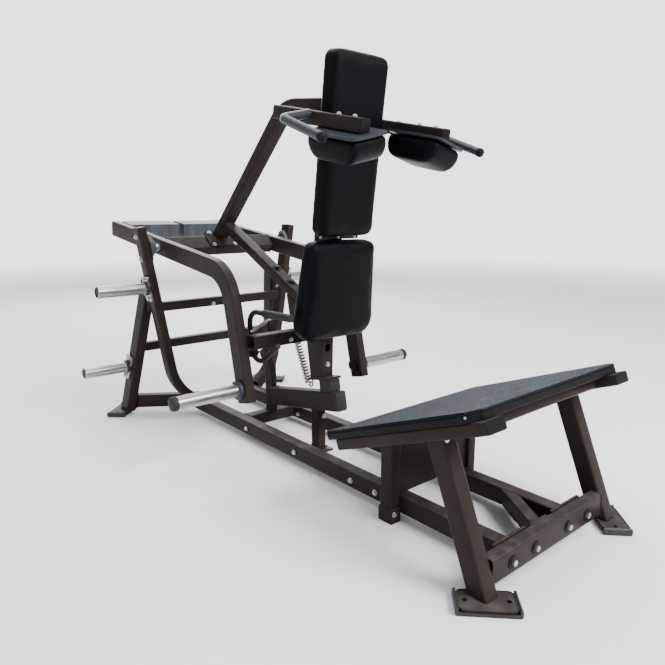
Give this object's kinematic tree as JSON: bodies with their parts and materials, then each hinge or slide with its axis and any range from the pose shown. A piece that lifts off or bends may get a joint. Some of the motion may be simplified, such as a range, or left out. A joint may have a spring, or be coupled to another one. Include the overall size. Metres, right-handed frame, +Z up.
{
  "type": "v-squat machine",
  "caption": "Plate-loaded squat machine: a counterweighted swing lever with back, hip and shoulder pads above an inclined foot platform.",
  "frame": {"origin": "on the floor under the middle of the machine's box", "axes": "+Z up; the user faces -Y, towards the platform's high edge, so the user's right hand is at -X; the counterweights are at +Y"},
  "size_m": [1.204, 2.3486, 1.4432],
  "materials": {
    "paint": "semi-gloss powder coat",
    "chrome": "satin chrome",
    "zinc": "zinc plate",
    "rubber": "black rubber",
    "grit": "pebbled rubber mat",
    "vinyl": "grained vinyl",
    "weight": "matt slate paint"
  },
  "bodies": {
    "frame": {"front_leg_right": "paint", "front_leg_left": "paint", "front_foot_right": "rubber", "front_foot_left": "rubber", "front_crossbar": "paint", "base_rail_right": "paint", "base_rail_left": "paint", "base_brace": "paint", "deck_post_right": "paint", "deck_post_left": "paint", "deck_panel": "paint", "deck_side_tube_right": "paint", "deck_side_tube_left": "paint", "deck_front_tube": "paint", "deck_board": "rubber", "deck_mat": "grit", "upright_right": "paint", "upright_left": "paint", "rear_leg_right": "paint", "rear_leg_left": "paint", "rear_foot_right": "rubber", "rear_foot_left": "rubber", "floor_brace_right": "paint", "floor_brace_left": "paint", "upper_crossbar": "paint", "lower_crossbar": "paint", "storage_horn_upper_right": "chrome", "storage_horn_upper_left": "chrome", "storage_horn_lower_right": "chrome", "storage_horn_lower_left": "chrome", "pivot_bearing_right": "zinc", "pivot_bearing_left": "zinc", "stop_cross_tube": "paint", "stop_rear_post": "paint", "stop_front_post": "paint", "stop_beam": "paint", "stop_buffer": "rubber"},
    "lever": {"side_arm_right": "paint", "side_arm_left": "paint", "pivot_shaft": "zinc", "counterweight_right": "weight", "counterweight_left": "weight", "lever_cross_tube": "paint", "mast": "paint", "centre_strut": "paint", "pad_column": "paint", "lever_tie": "paint", "loading_horn_right": "chrome", "loading_horn_left": "chrome", "back_pad": "vinyl", "hip_pad": "vinyl", "yoke_cross_tube": "paint", "shoulder_beam_right": "paint", "shoulder_beam_left": "paint", "shoulder_pad_right": "vinyl", "shoulder_pad_left": "vinyl", "handle_right": "rubber", "handle_left": "rubber"},
    "release": {"release_handle": "paint", "release_grip": "rubber"}
  },
  "joints": [
    {"name": "lever_swing", "type": "hinge", "parent": "frame", "child": "lever", "pos_m": [0, 0.647, 0.778], "axis": [-1, 0, 0], "range_deg": [0, 35]},
    {"name": "release_turn", "type": "hinge", "parent": "lever", "child": "release", "pos_m": [-0.222, 0.046, 0.41], "axis": [-1, 0, 0], "range_deg": [0, 14]}
  ]
}
